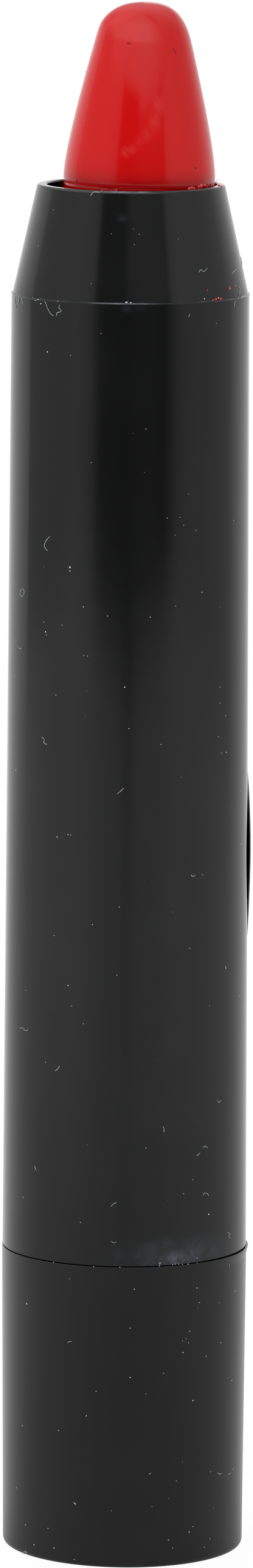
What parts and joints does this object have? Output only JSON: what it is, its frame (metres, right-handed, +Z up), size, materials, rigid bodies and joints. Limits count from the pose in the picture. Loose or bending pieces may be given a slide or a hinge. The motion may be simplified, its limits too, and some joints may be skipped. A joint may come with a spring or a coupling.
{
  "type": "face paint stick",
  "caption": "Twist-up face paint stick: a round black barrel with a cone nose, a turning base, and a tapered red paint crayon that rises as the base turns.",
  "frame": {"origin": "centre of the base's underside, on the stick's axis", "axes": "+Z up the stick from base to crayon tip; +X is the side with the label and the side to which the crayon leans; -Y faces the picture's camera"},
  "size_m": [0.0142, 0.0142, 0.0892],
  "materials": {
    "barrel": "gloss",
    "base": "satin",
    "inner_black": "satin",
    "inner_white": "satin",
    "ring": "matte",
    "label": "satin",
    "paint": "satin"
  },
  "bodies": {
    "barrel": {"barrel": "barrel", "guide_sleeve": "inner_black", "o_ring": "ring", "side_label": "label"},
    "base": {"base_cover": "base", "base_core": "inner_black", "spindle": "inner_white"},
    "carrier": {"follower": "inner_white", "crayon_cup": "inner_white", "paint_crayon": "paint"}
  },
  "joints": [
    {"name": "base_twist", "type": "hinge", "parent": "barrel", "child": "base", "pos_m": [0, 0, 0], "axis": [0, 0, 1], "range_deg": [-990, 1224]},
    {"name": "crayon_slide", "type": "slide", "parent": "barrel", "child": "carrier", "axis": [0, 0, 1], "range_m": [-0.01101, 0.01361]}
  ],
  "couplings": [
    {"joint": "crayon_slide", "follows": "base_twist", "m_per_rad": 0.00063662}
  ]
}
